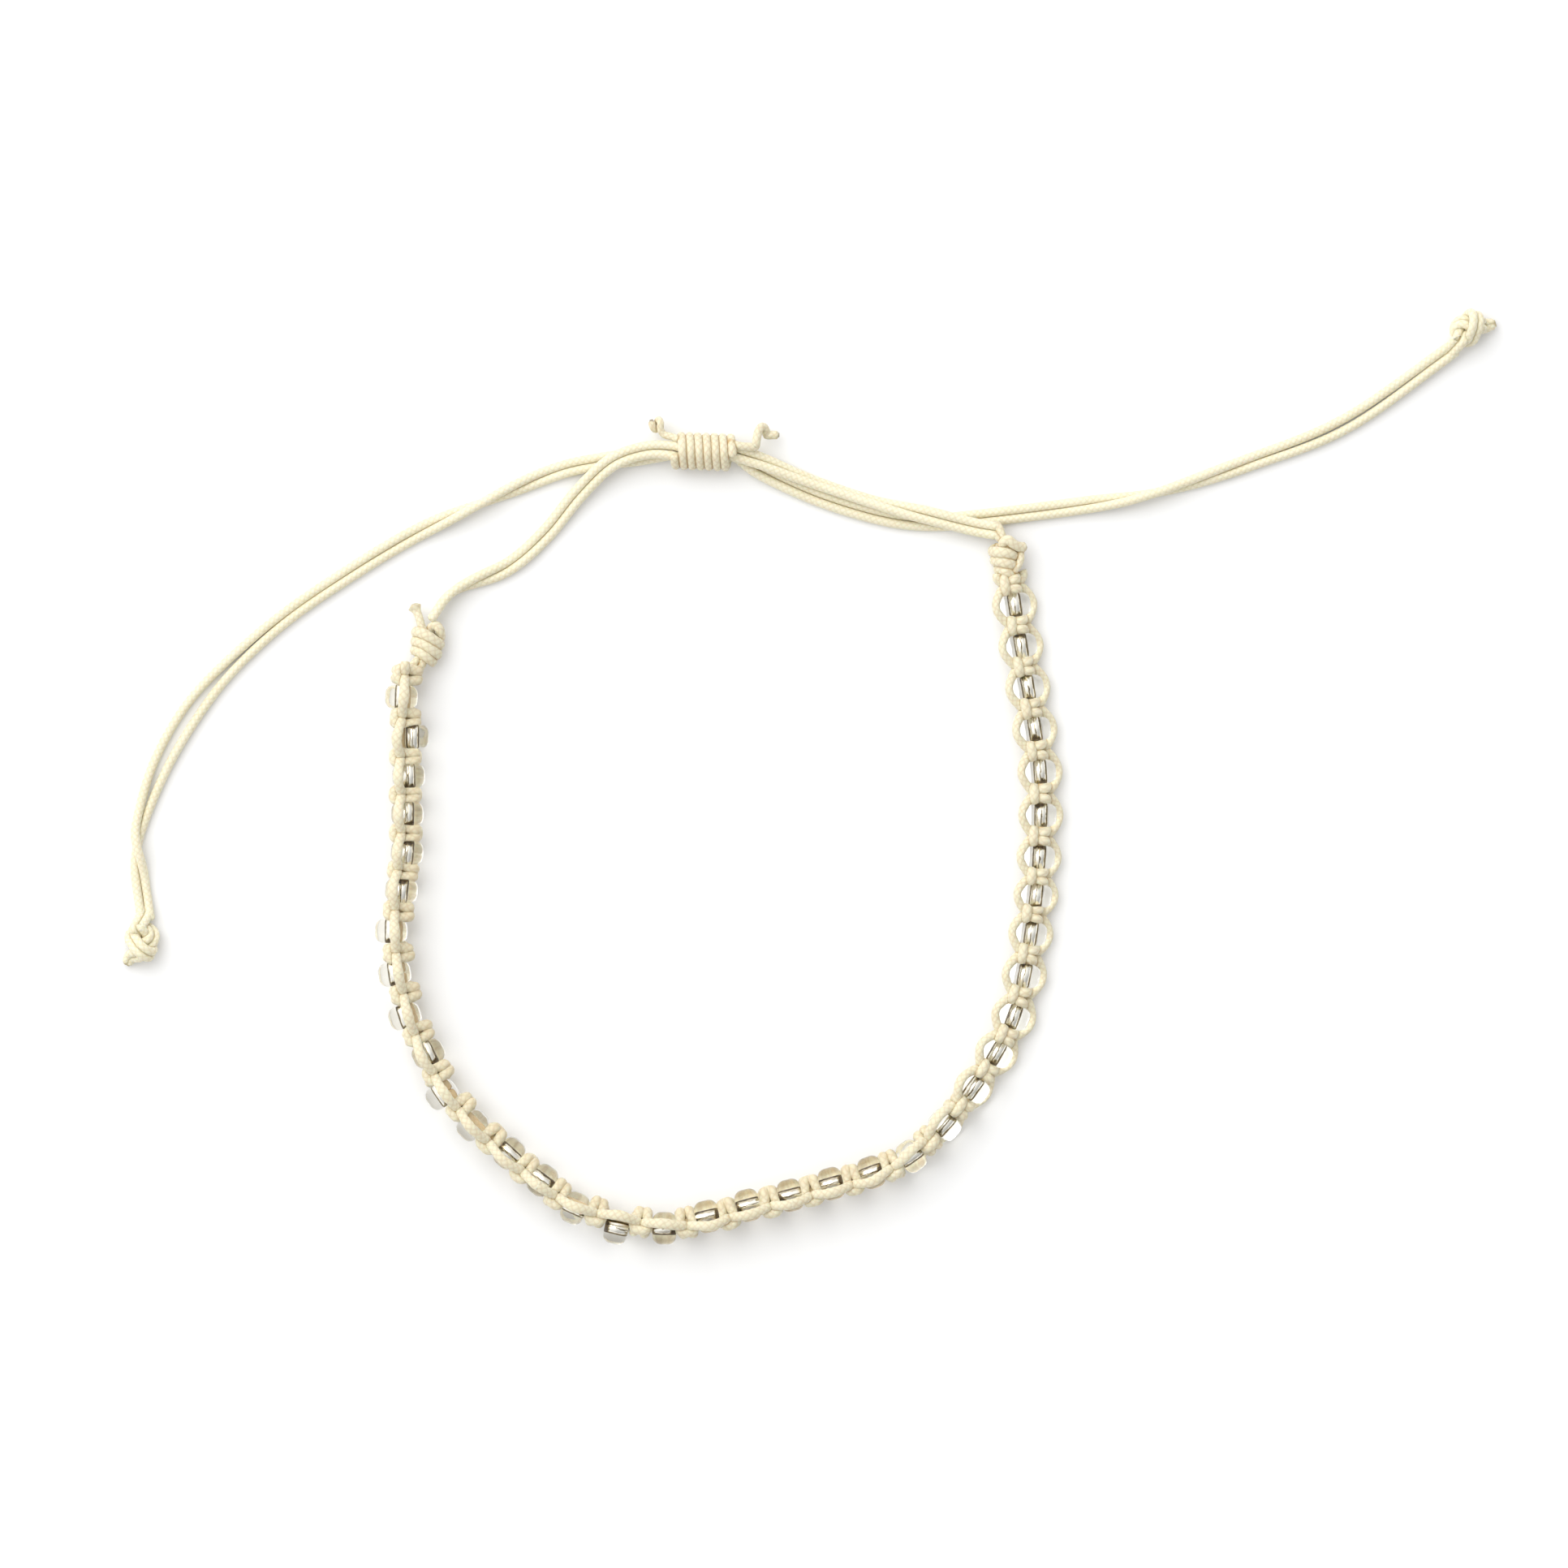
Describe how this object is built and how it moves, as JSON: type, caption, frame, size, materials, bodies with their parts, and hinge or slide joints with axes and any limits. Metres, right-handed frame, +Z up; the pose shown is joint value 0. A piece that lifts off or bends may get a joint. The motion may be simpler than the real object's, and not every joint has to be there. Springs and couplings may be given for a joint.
{
  "type": "bracelet",
  "caption": "Adjustable macramé bracelet: glass seed beads held by square knots on a waxed cord band, closed by a wrapped sliding knot on two pairs of tie cords.",
  "frame": {"origin": "middle of the footprint of the beaded band, its end knots and the sliding knot, on the surface that it lies on", "axes": "+Z up from that surface, +Y from the middle of the beaded band towards the sliding knot, +X to the right"},
  "size_m": [0.1355, 0.0916, 0.0049],
  "materials": {
    "glass": "clear glass with a silver lining in the hole",
    "cord": "cream waxed braided cord"
  },
  "bodies": {
    "root": {"bead_01": "glass", "bead_02": "glass", "bead_03": "glass", "bead_04": "glass", "bead_05": "glass", "bead_06": "glass", "bead_07": "glass", "bead_08": "glass", "bead_09": "glass", "bead_10": "glass", "bead_11": "glass", "bead_12": "glass", "bead_13": "glass", "bead_14": "glass", "bead_15": "glass", "bead_16": "glass", "bead_17": "glass", "bead_18": "glass", "bead_19": "glass", "bead_20": "glass", "bead_21": "glass", "bead_22": "glass", "bead_23": "glass", "bead_24": "glass", "bead_25": "glass", "bead_26": "glass", "bead_27": "glass", "bead_28": "glass", "bead_29": "glass", "bead_30": "glass", "bead_31": "glass", "bead_32": "glass", "bead_33": "glass", "bead_34": "glass", "bead_35": "glass", "bead_36": "glass", "bead_37": "glass", "knotted_cord_01": "cord", "knotted_cord_02": "cord", "knotted_cord_03": "cord", "knotted_cord_04": "cord", "knotted_cord_05": "cord", "knotted_cord_06": "cord", "knotted_cord_07": "cord", "knotted_cord_08": "cord", "knotted_cord_09": "cord", "knotted_cord_10": "cord", "knotted_cord_11": "cord", "knotted_cord_12": "cord", "end_knot_left": "cord", "end_knot_right": "cord", "sliding_knot": "cord", "tail_knot_left": "cord", "tail_knot_right": "cord", "tie_cord_left_1": "cord", "tie_cord_left_2": "cord", "tie_cord_right_1": "cord", "tie_cord_right_2": "cord"}
  },
  "joints": []
}
